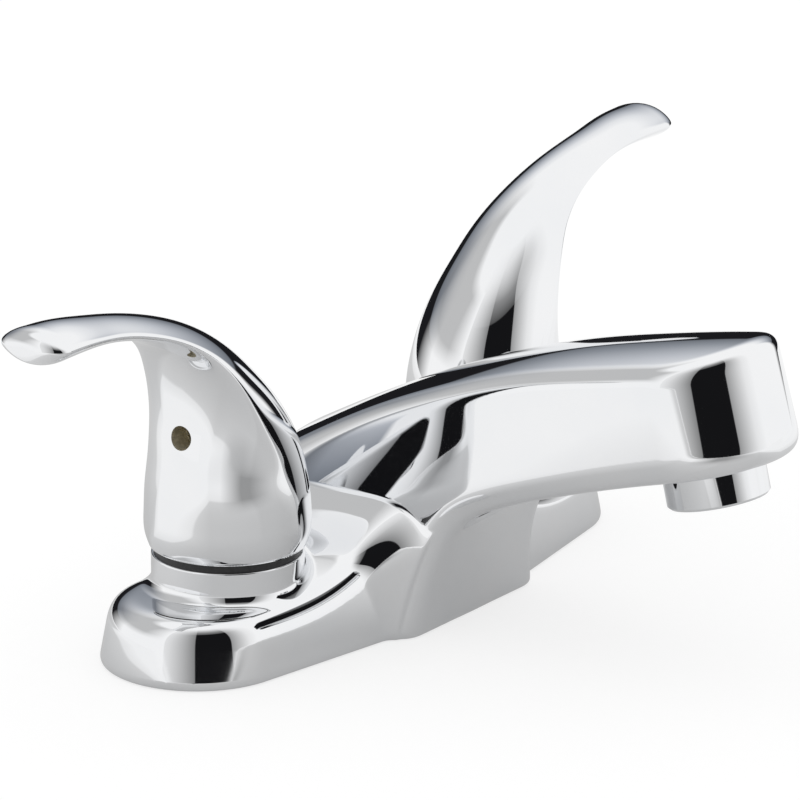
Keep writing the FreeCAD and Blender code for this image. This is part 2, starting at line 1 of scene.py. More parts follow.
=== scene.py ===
import math

import bmesh
import bpy
import numpy as np
import openvdb
from mathutils import Matrix, Vector
from mathutils.bvhtree import BVHTree


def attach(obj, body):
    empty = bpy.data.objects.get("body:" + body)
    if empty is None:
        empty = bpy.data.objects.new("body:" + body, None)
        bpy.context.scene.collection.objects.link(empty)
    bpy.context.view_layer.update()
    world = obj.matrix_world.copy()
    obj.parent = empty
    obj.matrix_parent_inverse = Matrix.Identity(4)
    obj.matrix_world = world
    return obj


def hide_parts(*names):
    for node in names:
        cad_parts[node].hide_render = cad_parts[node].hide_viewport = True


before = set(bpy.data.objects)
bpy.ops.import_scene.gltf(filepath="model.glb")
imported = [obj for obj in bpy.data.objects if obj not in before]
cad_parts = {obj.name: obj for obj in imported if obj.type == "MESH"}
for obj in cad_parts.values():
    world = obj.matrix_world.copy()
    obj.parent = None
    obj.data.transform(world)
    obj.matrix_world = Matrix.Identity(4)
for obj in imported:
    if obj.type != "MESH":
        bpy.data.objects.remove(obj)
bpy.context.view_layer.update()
mm = 0.001


# Chromed casting: deck base, two valve collars and spout, die cast in one piece.
# It is bright nickel-chrome plate over polished zinc alloy, blended by hand polishing where
# the spout grows out of the base. It is drawn down on the deck by nuts on the valve shanks.
valve_x = 50.8
base_end_x = 61.8
base_end_radius = 22.7
base_draft = 0.19
wing_flare = math.radians(9.4)
wing_apex_radius = 60.0
base_top = [(0, 27.0), (21.8, 25.0), (36, 19.0), (50.8, 15.7), (69.7, 15.3), (90.4, 14.7)]
base_edge_radius = 4.8
foot_radius = 1.6
casting_wall = 3.0
cavity_height = 12.0
cavity_corner = 1.5
collar_radius = 17.5
collar_top = 23.2
collar_foot_radius = 2.7
valve_bore = 12.55

aerator_reach = 99.3
aerator_bottom = 40.8
aerator_tilt = math.radians(13.7)
# half widths of the spout against the distance behind the aerator, at its lowest and highest level
side_low_level = -45
side_high_level = 60
spout_low_side = [(0, 22.5), (22, 23.4), (45, 24.8), (60, 25.5),
                  (76, 29.8), (92, 36.0), (112, 46.0), (132, 52.0)]
spout_high_side = [(0, 18.2), (22, 17.9), (45, 16.7), (60, 16.1),
                   (76, 13.4), (92, 11.0), (112, 8.4), (132, 6.5)]
spout_top = [(40, 25.5), (22, 33.6), (8.6, 40.7), (-11.6, 51.3), (-34, 61.2), (-55, 68.6),
             (-78, 74.2), (-100, 78.4), (-128, 82.0)]
spout_under = [(-33, -30), (-33, 0), (-34, 9), (-36.6, 19), (-41.5, 27.4), (-50.9, 33.3), (-65, 38.6),
               (-84, 44.6), (-100, 49.0), (-128, 55.8)]
crown_radius = 60.0
crown_reach = 54.0
spout_top_edge = 3.0
spout_low_edge = 5.0
root_blend = 14.0
root_blend_levels = (-8, 32)
crease_blend = 0.5
tongue_stand = 3.2
tongue_sink = 3.0
tongue_sink_levels = (22, 36)
crisp_edge = 0.4
corner_reach = 1.35
skin_pitch = 0.7


def smooth_curve(points):
    # natural cubic spline through the points, as a function of the first coordinate
    x, y = np.array(sorted(points), float).T
    step = np.diff(x)
    count = len(x)
    system = np.eye(count)
    bend = np.zeros(count)
    for i in range(1, count - 1):
        system[i, i - 1:i + 2] = step[i - 1], 2 * (step[i - 1] + step[i]), step[i]
        bend[i] = 6 * ((y[i + 1] - y[i]) / step[i] - (y[i] - y[i - 1]) / step[i - 1])
    m = np.linalg.solve(system, bend)

    def value(at):
        i = np.clip(np.searchsorted(x, at) - 1, 0, count - 2)
        u = at - x[i]
        v = x[i + 1] - at
        cubic = (m[i] * v ** 3 + m[i + 1] * u ** 3) / (6 * step[i])
        left = (y[i] / step[i] - m[i] * step[i] / 6) * v
        right = (y[i + 1] / step[i] - m[i + 1] * step[i] / 6) * u
        return cubic + left + right

    return value


def levelled(curve, at):
    # turns a height difference into a distance square to the curve
    slope = curve(at + 0.5) - curve(at - 0.5)
    return 1 / np.sqrt(1 + slope ** 2)


def round_corner(radius, *faces):
    # what lies inside every face, with the outside corners polished round, slowly at first
    reach = radius * corner_reach
    grown = [np.maximum(face + reach, 0) for face in faces]
    return np.minimum(np.maximum.reduce(faces), -reach) + np.cbrt(sum(g * g * g for g in grown))


def fillet(radius, a, b):
    # what lies inside either face, with the inside corner filled
    near_a = np.maximum(radius - a, 0)
    near_b = np.maximum(radius - b, 0)
    return np.maximum(np.minimum(a, b), radius) - np.sqrt(near_a ** 2 + near_b ** 2)


def ramp(low, high, at):
    t = np.clip((at - low) / (high - low), 0, 1)
    return t * t * (3 - 2 * t)


base_height = smooth_curve([(-x, z) for x, z in base_top[1:]] + base_top)
side_low = smooth_curve([(-v, w) for v, w in spout_low_side[1:]] + spout_low_side)
side_high = smooth_curve([(-v, w) for v, w in spout_high_side[1:]] + spout_high_side)
crown_height = smooth_curve(spout_top)
under_depth = smooth_curve([(z - y, -y - z) for y, z in spout_under])


def base_plan(x, y, z, inset, back_open):
    # distance outside the drafted plan of the deck base
    nx, ny = math.sin(wing_flare), -math.cos(wing_flare)
    radius = base_end_radius - inset
    qx = np.abs(x) - base_end_x
    along = -ny * qx + nx * y
    wing = nx * qx + ny * y - radius
    apex_y = (wing_apex_radius - base_end_radius - base_end_x * nx) / -ny
    apex_along = ny * base_end_x + nx * apex_y
    apex = np.hypot(x, y - apex_y) - (wing_apex_radius - inset)
    end = np.hypot(qx, y) - radius
    front = np.where(along > 0, end, np.where(along < apex_along, apex, wing))
    straight = np.full_like(y, -radius) if back_open else y - radius
    back = np.where(qx > 0, end, straight)
    return (np.where(y > 0, back, front) + base_draft * z) / math.hypot(1, base_draft)


def back_wall(x, y, z):
    behind = (y - base_end_radius + base_draft * z) / math.hypot(1, base_draft)
    return np.where((np.abs(x) < base_end_x) & (y > 0), behind, -base_end_radius)


def base_lid(x, z, inset):
    return (z - base_height(x) + inset) * levelled(base_height, x)


def spout_side(x, y, z):
    # distance outside the spout's plan walls, which lean with the aerator's axis
    v = (y + aerator_reach) * math.cos(aerator_tilt) - (z - aerator_bottom) * math.sin(aerator_tilt)
    n = (y + aerator_reach) * math.sin(aerator_tilt) + (z - aerator_bottom) * math.cos(aerator_tilt)
    high = (n - side_low_level) / (side_high_level - side_low_level)
    half = side_low(v) * (1 - high) + side_high(v) * high
    ahead = side_low(v + 0.5) * (1 - high) + side_high(v + 0.5) * high
    wall = (np.abs(x) - half) / np.sqrt(1 + (2 * (ahead - half)) ** 2)
    radius = side_low(0.0) * (1 - high) + side_high(0.0) * high
    return np.where(v > 0, wall, np.hypot(x, v) - radius)


def spout_crown(x, y, z):
    reach = np.clip(x, -crown_reach, crown_reach)
    sag = crown_radius - np.sqrt(crown_radius ** 2 - reach ** 2)
    lean = reach / np.sqrt(crown_radius ** 2 - reach ** 2)
    slope = crown_height(y + 0.5) - crown_height(y - 0.5)
    return (z - crown_height(y) + sag) / np.sqrt(1 + slope ** 2 + lean ** 2)


def spout_belly(y, z):
    along = z - y
    slope = under_depth(along + 0.5) - under_depth(along - 0.5)
    return (-y - z - under_depth(along)) / math.sqrt(2) / np.sqrt(1 + slope ** 2)


def casting_outside(p):
    # distance outside the polished outer skin, at points in millimetres
    x, y, z = p[..., 0], p[..., 1], p[..., 2]
    base = round_corner(base_edge_radius, base_plan(x, y, z, 0, True), base_lid(x, z, 0))
    upper = round_corner(spout_top_edge, spout_side(x, y, z), spout_crown(x, y, z))
    belly = spout_belly(y, z)
    # the flanks sweep softly into the base. Under them the tongue stands proud with a crisp crease,
    # which fades out where the flanks sink into the spout
    sunk = tongue_sink * ramp(*tongue_sink_levels, z)
    flank = round_corner(crisp_edge, upper + sunk, belly + tongue_stand)
    blend = crease_blend + (root_blend - crease_blend) * ramp(*root_blend_levels, z)
    body = fillet(crease_blend, fillet(blend, base, flank), round_corner(spout_low_edge, upper, belly))
    body = round_corner(base_edge_radius, body, back_wall(x, y, z))
    collar = round_corner(crisp_edge, np.hypot(np.abs(x) - valve_x, y) - collar_radius, z - collar_top)
    return fillet(collar_foot_radius, body, collar)


def casting_hollow(p):
    # distance outside the space under the base
    x, y, z = p[..., 0], p[..., 1], p[..., 2]
    plan = base_plan(x, y, z, casting_wall, False)
    return round_corner(cavity_corner, plan, base_lid(x, z, casting_wall), z - cavity_height)


def casting_skin(p):
    x, y, z = p[..., 0], p[..., 1], p[..., 2]
    outside = round_corner(foot_radius, casting_outside(p), -z)
    bore = np.hypot(np.abs(x) - valve_x, y) - valve_bore
    return np.maximum.reduce([outside, -casting_hollow(p), -bore])


def slope_of(skin, p):
    step = 0.02
    parts = []
    for axis in range(3):
        shift = np.zeros(3)
        shift[axis] = step
        parts.append((skin(p + shift) - skin(p - shift)) / (2 * step))
    return np.stack(parts, -1)


def skin_mesh(skin, low, high, pitch):
    # quads over the zero level of the skin, each point then drawn exactly onto it
    counts = [int(math.ceil((b - a) / pitch)) + 1 for a, b in zip(low, high)]
    axes = [a + pitch * np.arange(n) for a, n in zip(low, counts)]
    values = np.empty(counts, np.float32)
    for i, x in enumerate(axes[0]):
        layer = np.stack(np.meshgrid([x], axes[1], axes[2], indexing="ij"), -1)[0]
        values[i] = skin(layer)
    beyond, near = 10.0, 4.0
    grid = openvdb.FloatGrid(beyond)
    grid.copyFromArray(np.clip(values, -near, near))
    points, quads = grid.convertToQuads(0.0)
    points = np.array(low) + points.astype(float) * pitch
    return onto_skin(skin, points, limit=pitch / 2, rounds=6), quads


def onto_skin(skin, points, limit, rounds):
    for _ in range(rounds):
        slope = slope_of(skin, points)
        length = np.maximum((slope ** 2).sum(-1, keepdims=True), 0.2)
        points = points - np.clip(skin(points)[:, None] * slope / length, -limit, limit)
    return points


def sharpen(mesh, skin, turn, rounds):
    # splits the edges that cross a tight curve, then gives every corner the skin's own normal
    for _ in range(rounds):
        made = bmesh.new()
        made.from_mesh(mesh)
        places = np.array([v.co[:] for v in made.verts]) / mm
        normals = slope_of(skin, places)
        normals /= np.linalg.norm(normals, axis=1, keepdims=True) + 1e-9
        ends = np.array([(e.verts[0].index, e.verts[1].index) for e in made.edges])
        bent = (normals[ends[:, 0]] * normals[ends[:, 1]]).sum(1) < math.cos(math.radians(turn))
        bmesh.ops.subdivide_edges(made, edges=[e for e, b in zip(made.edges[:], bent) if b], cuts=1,
                                  use_grid_fill=True)
        made.to_mesh(mesh)
        made.free()
        places = np.empty(len(mesh.vertices) * 3)
        mesh.vertices.foreach_get("co", places)
        places = onto_skin(skin, places.reshape(-1, 3) / mm, limit=0.2, rounds=4)
        mesh.vertices.foreach_set("co", (places * mm).ravel())
    normals = slope_of(skin, places)
    normals /= np.linalg.norm(normals, axis=1, keepdims=True) + 1e-9
    mesh.update()
    mesh.normals_split_custom_set_from_vertices([tuple(n) for n in normals])


def make_piece(name, points, faces, material, body):
    mesh = bpy.data.meshes.new(name)
    mesh.from_pydata([tuple(p) for p in np.asarray(points) * mm], [], [tuple(map(int, f)) for f in faces])
    mesh.validate()
    mesh.update()
    piece = bpy.data.objects.new(name, mesh)
    bpy.context.scene.collection.objects.link(piece)
    mesh.materials.append(material)
    mesh.polygons.foreach_set("use_smooth", [True] * len(mesh.polygons))
    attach(piece, body)
    return piece


class Tint:
    # a node socket that takes part in sums and products
    def __init__(self, tree, socket):
        self.tree = tree
        self.socket = socket

    def node(self, kind, settings=None, inputs=None, output=0):
        made = self.tree.nodes.new(kind)
        for name, value in (settings or {}).items():
            if name == "stops":
                elements = made.color_ramp.elements
                while len(elements) < len(value):
                    elements.new(0.5)
                for element, (place, colour) in zip(elements, value):
                    element.position = place
                    element.color = (*colour, 1) if isinstance(colour, tuple) else (colour, colour, colour, 1)
            else:
                setattr(made, name, value)
        for name, value in (inputs or {}).items():
            if isinstance(value, Tint):
                self.tree.links.new(value.socket, made.inputs[name])
            else:
                made.inputs[name].default_value = value
        return Tint(self.tree, made.outputs[output])

    def sum_of(self, operation, a, b):
        return self.node("ShaderNodeMath", {"operation": operation}, {0: a, 1: b})

    def __add__(self, other):
        return self.sum_of("ADD", self, other)

    def __mul__(self, other):
        return self.sum_of("MULTIPLY", self, other)

    def __rsub__(self, other):
        return self.sum_of("SUBTRACT", other, self)

    __radd__ = __add__
    __rmul__ = __mul__


def new_finish(name, **fixed):
    # a Principled material with its constant sockets set, and a Tint to build the rest from
    material = bpy.data.materials.new(name)
    material.use_nodes = True
    tree = material.node_tree
    shader = tree.nodes["Principled BSDF"]
    for socket, value in fixed.items():
        shader.inputs[socket.replace("_", " ")].default_value = value
    return material, shader, Tint(tree, None)


def chrome_finish():
    # bright plate with the faint haze of hand polishing
    material, shader, tint = new_finish("polished_chrome", Metallic=1.0)
    place = tint.node("ShaderNodeTexCoord", output=3)
    haze = tint.node("ShaderNodeTexNoise", {}, {"Vector": place, "Scale": 60.0, "Detail": 4.0})
    roughness = haze * 0.03 + 0.012
    tint.tree.links.new(roughness.socket, shader.inputs["Roughness"])
    stops = [(0.3, (0.86, 0.87, 0.885)), (0.7, (0.885, 0.89, 0.90))]
    colour = tint.node("ShaderNodeValToRGB", {"stops": stops}, {"Fac": haze})
    tint.tree.links.new(colour.socket, shader.inputs["Base Color"])
    return material


chrome = chrome_finish()
low_corner = (-90.0, -126.0, -3.0)
high_corner = (90.0, 27.0, 88.0)
points, quads = skin_mesh(casting_skin, low_corner, high_corner, skin_pitch)
casting = make_piece("casting", points, quads, chrome, "fixed")
sharpen(casting.data, casting_skin, turn=5, rounds=2)
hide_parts("spout_body")


# Valves, waterways, aerator and deck fixings: turned brass, drawn copper tube, stainless springs
# and screen, moulded rubber and acetal. They screw, solder or slip into the casting and the
# handles, and hardly any of them shows. Their shapes are the frame's own.


def mottled(name, dark, light, scale, rough, metal, bump=0.0, **fixed):
    # a finish whose colour and roughness drift with a fine noise, as moulded, turned or cast stock does
    material, shader, tint = new_finish(name, Metallic=metal, **fixed)
    place = tint.node("ShaderNodeTexCoord", output=3)
    grain = tint.node("ShaderNodeTexNoise", {},
                      {"Vector": place, "Scale": scale, "Detail": 6.0, "Roughness": 0.6})
    colour = tint.node("ShaderNodeValToRGB", {"stops": [(0.3, dark), (0.7, light)]}, {"Fac": grain})
    tint.tree.links.new(colour.socket, shader.inputs["Base Color"])
    roughness = grain * (rough[1] - rough[0]) + rough[0]
    tint.tree.links.new(roughness.socket, shader.inputs["Roughness"])
    if bump:
        relief = tint.node("ShaderNodeBump", {}, {"Height": grain, "Strength": bump, "Distance": 0.0002})
        tint.tree.links.new(relief.socket, shader.inputs["Normal"])
    return material


finishes = {
    "chrome": chrome,
    "brass": mottled("turned_brass", (0.62, 0.44, 0.17), (0.76, 0.57, 0.26), 500.0, (0.22, 0.38), 1.0, 0.15),
    "screw_brass": mottled("screw_brass", (0.46, 0.40, 0.26), (0.78, 0.70, 0.50), 700.0, (0.28, 0.5), 1.0, 0.3),
    "copper": mottled("drawn_copper", (0.66, 0.30, 0.18), (0.80, 0.42, 0.28), 400.0, (0.2, 0.36), 1.0, 0.1),
    "steel": mottled("stainless_steel", (0.48, 0.48, 0.47), (0.62, 0.62, 0.61), 600.0, (0.25, 0.42), 1.0, 0.2),
    "rubber": mottled("black_rubber", (0.012, 0.012, 0.012), (0.03, 0.03, 0.029), 900.0,
                      (0.55, 0.8), 0.0, 0.3),
    "dark_plastic": mottled("black_acetal", (0.012, 0.012, 0.013), (0.028, 0.028, 0.03), 1200.0,
                            (0.3, 0.5), 0.0, 0.2),
    "pale_plastic": mottled("pale_acetal", (0.70, 0.69, 0.65), (0.80, 0.79, 0.76), 800.0,
                            (0.35, 0.55), 0.0, 0.15),
}
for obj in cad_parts.values():
    for slot in obj.material_slots:
        key = slot.material.name.split(".")[0] if slot.material else "none"
        slot.material = finishes.get(key, chrome)


# Lever handles: one on each valve, die cast in the same zinc alloy and chromed.
# The hub is hollow and fits over the stem's splines. It sweeps up and outwards into a slim lever,
# and a set screw holds it from the outward side.
hub_foot = 25.9
hub_cavity_radius = 15.6
hub_cavity_edge = 0.2
skirt_radius = 17.45
skirt_foot = -0.75
hub_cavity_top = 35.95
spline_hole_radius = 4.65
spline_hole_top = 60.45
set_screw_height = 53.95
set_screw_hole_radius = 2.8
set_screw_thread_radius = 2.55
set_screw_floor = 11.4
set_screw_hole_start = 4.2
set_screw_hole_end = 24.0
# each row: outward place and height of the inner or top point and of the outward or under point,
# half width, and how far from the first point to the second the section is widest
handle_rows = np.array([
    (-18.0, -0.75, 18.0, -0.75, 18.0, 0.50),
    (-18.85, 1.9, 18.85, 1.9, 18.85, 0.50),
    (-19.1, 7.1, 19.05, 6.5, 19.1, 0.50),
    (-18.2, 14.6, 18.75, 12.6, 18.8, 0.52),
    (-16.0, 22.9, 18.1, 18.9, 17.7, 0.56),
    (-12.8, 29.1, 17.45, 24.6, 16.9, 0.60),
    (-8.3, 35.3, 16.8, 29.6, 16.0, 0.64),
    (-2.4, 41.5, 16.5, 34.6, 15.0, 0.67),
    (5.0, 48.0, 17.2, 39.6, 13.9, 0.68),
    (14.53, 54.1, 20.05, 45.4, 12.03, 0.68),
    (25.49, 58.7, 25.99, 51.3, 10.31, 0.73),
    (37.02, 62.0, 35.23, 55.5, 9.02, 0.73),
    (48.97, 64.4, 47.4, 57.8, 8.38, 0.62),
    (59.5, 65.9, 58.71, 58.0, 9.31, 0.52),
    (66.0, 66.2, 65.4, 57.8, 9.7, 0.50),
])
lever_tip_length = 5.4
lever_tip_power = 2 / 2.4
lever_edge_softness = 1.2
ring_count = 150
ring_points = 144
arc_points = 200
tip_rings = 13


def through_rows(rows, count):
    # even stations along the handle, with every column on its own smooth curve
    middle = (rows[:, 0:2] + rows[:, 2:4]) / 2
    travel = np.concatenate([[0], np.cumsum(np.hypot(*np.diff(middle, axis=0).T))])
    stations = np.linspace(0, travel[-1], count)
    return np.stack([smooth_curve(list(zip(travel, column)))(stations) for column in rows.T], -1)


def handle_ring(row):
    # an arc over the top point and one under the lower point, with the two side edges eased
    top, under = row[0:2], row[2:4]
    depth = np.hypot(*(top - under))
    axis = (top - under) / depth
    rise, drop, half = depth * row[5], depth * (1 - row[5]), row[4]
    outline = []
    for height, sign in ((rise, 1), (drop, -1)):
        radius = (half ** 2 + height ** 2) / (2 * height)
        swing = np.arctan2(half, radius - height)
        turn = np.linspace(-swing, swing, arc_points) * sign
        arc = [radius * np.sin(turn), sign * (radius * np.cos(turn) - radius + height)]
        outline.append(np.stack(arc, -1)[:-1])
    loop = np.concatenate(outline)
    closed = np.concatenate([loop, loop[:1]])
    travel = np.concatenate([[0], np.cumsum(np.hypot(*np.diff(closed, axis=0).T))])
    girth = travel[-1]
    even = np.arange(ring_points) * girth / ring_points
    loop = np.stack([np.interp(even, travel, closed[:, k]) for k in (0, 1)], -1)
    waves = np.fft.fftfreq(ring_points, girth / ring_points)
    keep = np.exp(-2 * (math.pi * waves * lever_edge_softness) ** 2)
    loop = np.fft.ifft(np.fft.fft(loop[:, 0] + 1j * loop[:, 1]) * keep)
    middle = under + axis * drop
    place = middle + loop.imag[:, None] * axis
    return np.stack([place[:, 0], loop.real, place[:, 1]], -1)


def handle_mesh(side):
    # the outer skin and tip, closed below by the lip, the hub's hollow and the spline hole
    rings = [handle_ring(row) for row in through_rows(handle_rows, ring_count)]
    last = rings[-1]
    centre = last.mean(0)
    ahead = (centre - rings[-2].mean(0)) / np.linalg.norm(centre - rings[-2].mean(0))
    for step in np.linspace(0, math.pi / 2, tip_rings + 2)[1:-1]:
        shrink = math.cos(step) ** lever_tip_power
        out = lever_tip_length * math.sin(step) ** lever_tip_power
        rings.append(centre + (last - centre) * shrink + ahead * out)
    foot = rings[0]
    angle = np.arctan2(foot[:, 1], foot[:, 0])
    inner = []
    for radius, height in ((skirt_radius, skirt_foot), (skirt_radius, 0.0),
                           (hub_cavity_radius + hub_cavity_edge, 0.0), (hub_cavity_radius, hub_cavity_edge),
                           (hub_cavity_radius, hub_cavity_top - hub_foot),
                           (spline_hole_radius, hub_cavity_top - hub_foot),
                           (spline_hole_radius, spline_hole_top - hub_foot)):
        circle = [radius * np.cos(angle), radius * np.sin(angle), np.full_like(angle, height)]
        inner.append(np.stack(circle, -1))
    rings = inner[::-1] + rings
    points = np.concatenate(rings)
    faces = []
    for k in range(len(rings) - 1):
        for i in range(ring_points):
            j = (i + 1) % ring_points
            a, b = k * ring_points, (k + 1) * ring_points
            faces.append((a + i, a + j, b + j, b + i))
    tip = centre + ahead * lever_tip_length
    roof = np.array([0, 0, spline_hole_top - hub_foot])
    points = np.concatenate([points, [tip, roof]])
    end = (len(rings) - 1) * ring_points
    for i in range(ring_points):
        j = (i + 1) % ring_points
        faces.append((end + i, end + j, len(points) - 2))
        faces.append((j, i, len(points) - 1))
    points = points * (side, 1, 1) + (side * valve_x, 0, hub_foot)
    return points, [face[::-side] for face in faces]


def set_screw_cutter(side):
    # stepped drill for the set screw hole, along the outward direction
    profile = [(set_screw_thread_radius, set_screw_hole_start), (set_screw_thread_radius, set_screw_floor),
               (set_screw_hole_radius, set_screw_floor), (set_screw_hole_radius, set_screw_hole_end)]
    points = []
    faces = []
    count = 48
    for radius, out in profile:
        for k in range(count):
            turn = 2 * math.pi * k / count
            points.append((out, radius * math.cos(turn), set_screw_height + radius * math.sin(turn)))
    for row in range(len(profile) - 1):
        for k in range(count):
            a, b = row * count + k, row * count + (k + 1) % count
            faces.append((a, b, b + count, a + count))
    faces.append(tuple(range(count))[::-1])
    faces.append(tuple(range((len(profile) - 1) * count, len(profile) * count)))
    points = np.array(points) * (side, 1, 1) + (side * valve_x, 0, 0)
    return points, [face[::side] for face in faces]


# painted shade: the set screw hole's chrome wall gets a dull, darker olive colour for the shade inside the hole
painted_shade_bore = mottled("painted_shade_bore", (0.46, 0.42, 0.31), (0.74, 0.69, 0.55), 900.0, (0.4, 0.6), 0.6)


def polished_handle(label, side):
    # side is -1 for the hot handle on the left and 1 for the cold one
    points, faces = handle_mesh(side)
    handle = make_piece("handle_skin_" + label, points, faces, chrome, label)
    cut_points, cut_faces = set_screw_cutter(side)
    drill = make_piece("set_screw_drill_" + label, cut_points, cut_faces, painted_shade_bore, label)
    whole = BVHTree.FromPolygons([v.co.copy() for v in handle.data.vertices],
                                 [tuple(p.vertices) for p in handle.data.polygons])
    normals = [v.normal.copy() for v in handle.data.vertices]
    corners = [tuple(p.vertices) for p in handle.data.polygons]
    places = [v.co.copy() for v in handle.data.vertices]
    # the hole's wall takes the drill's painted shade colour
    cut = handle.modifiers.new("hole", "BOOLEAN")
    cut.object = drill
    cut.operation = "DIFFERENCE"
    cut.solver = "EXACT"
    cut.material_mode = "TRANSFER"
    bpy.context.view_layer.update()
    mesh = bpy.data.meshes.new_from_object(handle.evaluated_get(bpy.context.evaluated_depsgraph_get()))
    handle.modifiers.clear()
    handle.data = mesh
    bpy.data.objects.remove(drill)
    # the polish runs on up to the hole's edge: normals come from the uncut skin
    mesh.polygons.foreach_set("use_smooth", [True] * len(mesh.polygons))
    eased = []
    for polygon in mesh.polygons:
        _, normal, _, distance = whole.find_nearest(polygon.center)
        on_skin = distance < 0.02 * mm and abs(normal.dot(polygon.normal)) > 0.9
        for v in polygon.vertices:
            spot = mesh.vertices[v].co
            if on_skin:
                _, _, index, _ = whole.find_nearest(spot)
                near = [(places[c] - spot).length + 1e-9 for c in corners[index]]
                total = sum((normals[c] / d for c, d in zip(corners[index], near)), Vector())
                eased.append(total.normalized())
            else:
                eased.append(polygon.normal.copy())
    mesh.normals_split_custom_set(eased)
    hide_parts("handle_" + label)


polished_handle("hot", -1)
polished_handle("cold", 1)


# Studio: a white table in a white tent. A black flag stands on the camera's side and a low dark
# wall behind the faucet. The chrome mirrors both, but the camera doesn't see them and they cast
# no shadow.
world = bpy.data.worlds.new("tent")
bpy.context.scene.world = world
world.use_nodes = True
world.node_tree.nodes["Background"].inputs["Color"].default_value = (1, 1, 1, 1)
world.node_tree.nodes["Background"].inputs["Strength"].default_value = 1.0

camera_place = (-0.979551, -0.714242, 0.430451)
camera_turn = -0.948519
camera_dip = 0.307461
camera_roll = 0.001446
focal_pixels = 5460.29
picture_pixels = 800
camera_data = bpy.data.cameras.new("camera")
camera_data.sensor_width = 36
camera_data.lens = focal_pixels / picture_pixels * camera_data.sensor_width
camera_data.clip_end = 10
camera = bpy.data.objects.new("camera", camera_data)
bpy.context.scene.collection.objects.link(camera)
camera.matrix_world = (Matrix.Translation(camera_place) @ Matrix.Rotation(camera_turn, 4, "Z")
                       @ Matrix.Rotation(math.pi / 2 - camera_dip, 4, "X")
                       @ Matrix.Rotation(camera_roll, 4, "Z"))
bpy.context.scene.camera = camera
camera_side = math.atan2(camera_place[1], camera_place[0])


def stage_sheet(name, points, faces, seen_by):
    mesh = bpy.data.meshes.new(name)
    mesh.from_pydata(points, [], faces)
    mesh.update()
    sheet = bpy.data.objects.new(name, mesh)
    bpy.context.scene.collection.objects.link(sheet)
    sheet.visible_camera = "camera" in seen_by
    sheet.visible_diffuse = "diffuse" in seen_by
    sheet.visible_shadow = "shadow" in seen_by
    return sheet


def curved_flag(name, radius, start, end, low, high, shade):
    # an upright sheet bent round the faucet; angles in degrees to the right of the camera
    across = 48
    points = []
    faces = []
    for k in range(across + 1):
        turn = camera_side + math.radians(start + (end - start) * k / across)
        for z in (low, high):
            points.append((radius * math.cos(turn), radius * math.sin(turn), z))
        if k:
            faces.append((2 * k - 2, 2 * k, 2 * k + 1, 2 * k - 1))
    flag = stage_sheet(name, points, faces, ())
    material = bpy.data.materials.new(name)
    material.use_nodes = True
    tree = material.node_tree
    tree.nodes.remove(tree.nodes["Principled BSDF"])
    tint = Tint(tree, None)
    glow = tint.node("ShaderNodeEmission", {}, {"Color": shade(tint)})
    tree.links.new(glow.socket, tree.nodes["Material Output"].inputs["Surface"])
    flag.data.materials.append(material)


def around(tint):
    # degrees to the right of the camera, height and place, for the point of the sheet that is shaded
    place = tint.node("ShaderNodeNewGeometry", output=0)
    parts = tint.node("ShaderNodeSeparateXYZ", {}, {"Vector": place})
    x = Tint(tint.tree, parts.socket.node.outputs["X"])
    y = Tint(tint.tree, parts.socket.node.outputs["Y"])
    z = Tint(tint.tree, parts.socket.node.outputs["Z"])
    right = (math.cos(camera_side + math.pi / 2), math.sin(camera_side + math.pi / 2))
    ahead = (math.cos(camera_side), math.sin(camera_side))
    turn = tint.node("ShaderNodeMath", {"operation": "ARCTAN2"},
                     {0: x * right[0] + y * right[1], 1: x * ahead[0] + y * ahead[1]})
    return turn * (180 / math.pi), z, place


def stops_of(tint, value, low, high, stops):
    # a piecewise straight curve over low..high
    share = (value + -low) * (1 / (high - low))
    places = [((at - low) / (high - low), level) for at, level in stops]
    return tint.node("ShaderNodeValToRGB", {"stops": places}, {"Fac": share})


def blended(tint, share, first, second):
    # goes from the first colour to the second as the share rises from 0 to 1
    return tint.node("ShaderNodeMix", {"data_type": "RGBA"}, {0: share, 6: first, 7: second}, 2)


flag_radius = 1.0
flag_eye_height = 0.07
wall_radius = 0.5


def black_flag_shade(tint):
    # black in the middle, thinning out to both sides and upwards; rise is in degrees above eye height
    turn, height, _ = around(tint)
    slope = (height + -flag_eye_height) * (1 / flag_radius)
    rise = tint.node("ShaderNodeMath", {"operation": "ARCTANGENT"}, {0: slope}) * (180 / math.pi)
    sideways = stops_of(tint, turn, -60, 80, [
        (-52, 0.0), (-35, 0.22), (-20, 0.48), (-5.5, 0.75), (-5.0, 1.0),
        (37.8, 1.0), (38.4, 0.66), (50, 0.40), (62, 0.12), (74, 0.0)])
    upright = stops_of(tint, rise, -10, 80, [
        (-3.9, 0.0), (-3.8, 1.0), (43, 1.0), (43.5, 0.92), (54, 0.72), (63, 0.38), (69, 0.14), (76, 0.0)])
    return blended(tint, sideways * upright, (1, 1, 1, 1), (0.008, 0.008, 0.009, 1))


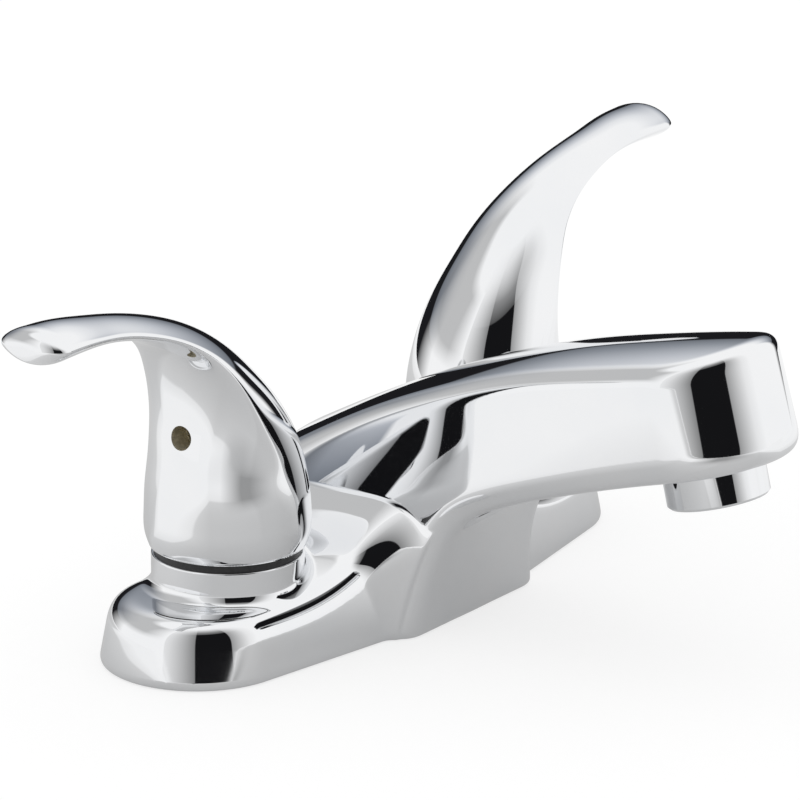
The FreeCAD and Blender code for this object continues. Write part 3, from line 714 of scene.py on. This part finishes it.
def dark_wall_shade(tint):
    # black low down, bluish grey above it and white at the top, with a grey patch at the left end
    turn, height, _ = around(tint)
    level = tint.node("ShaderNodeValToRGB", {"stops": [
        (0.0, (0.012, 0.012, 0.014)), (0.147, (0.012, 0.012, 0.014)), (0.157, (0.17, 0.185, 0.21)),
        (0.21, (0.28, 0.30, 0.335)), (0.31, (0.55, 0.57, 0.61)), (0.42, (0.84, 0.85, 0.87)),
        (0.54, (1, 1, 1))]},
        {"Fac": height})
    turn = turn + tint.node("ShaderNodeMath", {"operation": "LESS_THAN"}, {0: turn, 1: 0.0}) * 360.0
    fade = stops_of(tint, turn, 90, 330, [(122, 0.0), (130, 1.0), (225, 1.0), (260, 0.0)])
    grey = (stops_of(tint, turn, 90, 330, [(190, 0.0), (220, 0.44), (290, 0.44), (318, 0.0)])
            * stops_of(tint, height, 0, 1, [(0.12, 0.0), (0.26, 1.0), (0.75, 1.0), (0.98, 0.0)]))
    return blended(tint, grey, blended(tint, fade, (1, 1, 1, 1), level), (0.02, 0.02, 0.02, 1))


def table_painted_shade(tint):
    # painted shade on the table as the chrome mirrors it: a painted shadow round the faucet that lightens away
    # from it, painted shade before the flag, and painted shade far off on the camera's side
    turn, _, place = around(tint)
    away = tint.node("ShaderNodeVectorMath", {"operation": "LENGTH"}, {0: place}, 1)
    pull = stops_of(tint, turn, -180, 180, [
        (-115, 0.7), (-95, 0.9), (-84, 1.8), (-60, 1.5), (-25, 0.5),
        (24, 0.5), (29, 0.3), (60, 0.35), (80, 1.0)])
    # painted shadow round the faucet, brighter with distance
    level = stops_of(tint, away * pull, 0, 0.4, [
        (0.06, 0.23), (0.10, 0.27), (0.185, 0.36), (0.2, 0.54), (0.28, 0.64)])
    # painted shade before the flag, which casts no shadow itself
    near = (stops_of(tint, turn, -60, 80, [(-12, 0.0), (14, 1.0), (26, 1.0), (58, 0.0)])
            * stops_of(tint, away, 0, 1, [(0.22, 0.0), (0.4, 1.0)]))
    # painted shade far off on the camera's side
    far = (stops_of(tint, turn, -60, 80, [(-52, 0.0), (-25, 0.45), (-8, 0.8), (40, 0.6), (70, 0.0)])
           * stops_of(tint, away, 0, 1, [(0.66, 0.0), (0.85, 1.0)]))
    both = tint.node("ShaderNodeMath", {"operation": "MAXIMUM"}, {0: near, 1: far})
    return blended(tint, both, level, (0, 0, 0, 1))


table_reach = 3
floor = stage_sheet("table", [(x * table_reach, y * table_reach, 0) for x, y in
                              ((-1, -1), (1, -1), (1, 1), (-1, 1))],
                    [(0, 1, 2, 3)], ("camera", "diffuse", "shadow"))
floor_material = bpy.data.materials.new("white_table")
floor_material.use_nodes = True
floor_tree = floor_material.node_tree
floor_shader = floor_tree.nodes["Principled BSDF"]
floor_shader.inputs["Base Color"].default_value = (0.34, 0.34, 0.34, 1)
floor_shader.inputs["Roughness"].default_value = 0.9
floor_shader.inputs["Specular IOR Level"].default_value = 0.0
floor_tint = Tint(floor_tree, None)
rays = floor_tint.node("ShaderNodeLightPath").socket.node.outputs
by_camera = Tint(floor_tree, rays["Is Camera Ray"])
mirrored = Tint(floor_tree, rays["Is Glossy Ray"]) + Tint(floor_tree, rays["Is Transmission Ray"])
floor_shader.inputs["Emission Strength"].default_value = 1.0
lift = blended(floor_tint, by_camera, (0, 0, 0, 1), (0.68, 0.68, 0.68, 1))
# rays from the chrome see the table with its painted shade
lift = blended(floor_tint, mirrored, lift, table_painted_shade(floor_tint))
floor_tree.links.new(lift.socket, floor_shader.inputs["Emission Color"])
floor.data.materials.append(floor_material)


curved_flag("black_flag", flag_radius, -60, 80, 0.0, 4.2, black_flag_shade)
curved_flag("dark_wall", wall_radius, 95, 320, 0.0, 1.0, dark_wall_shade)
bpy.context.scene.view_settings.view_transform = "Standard"
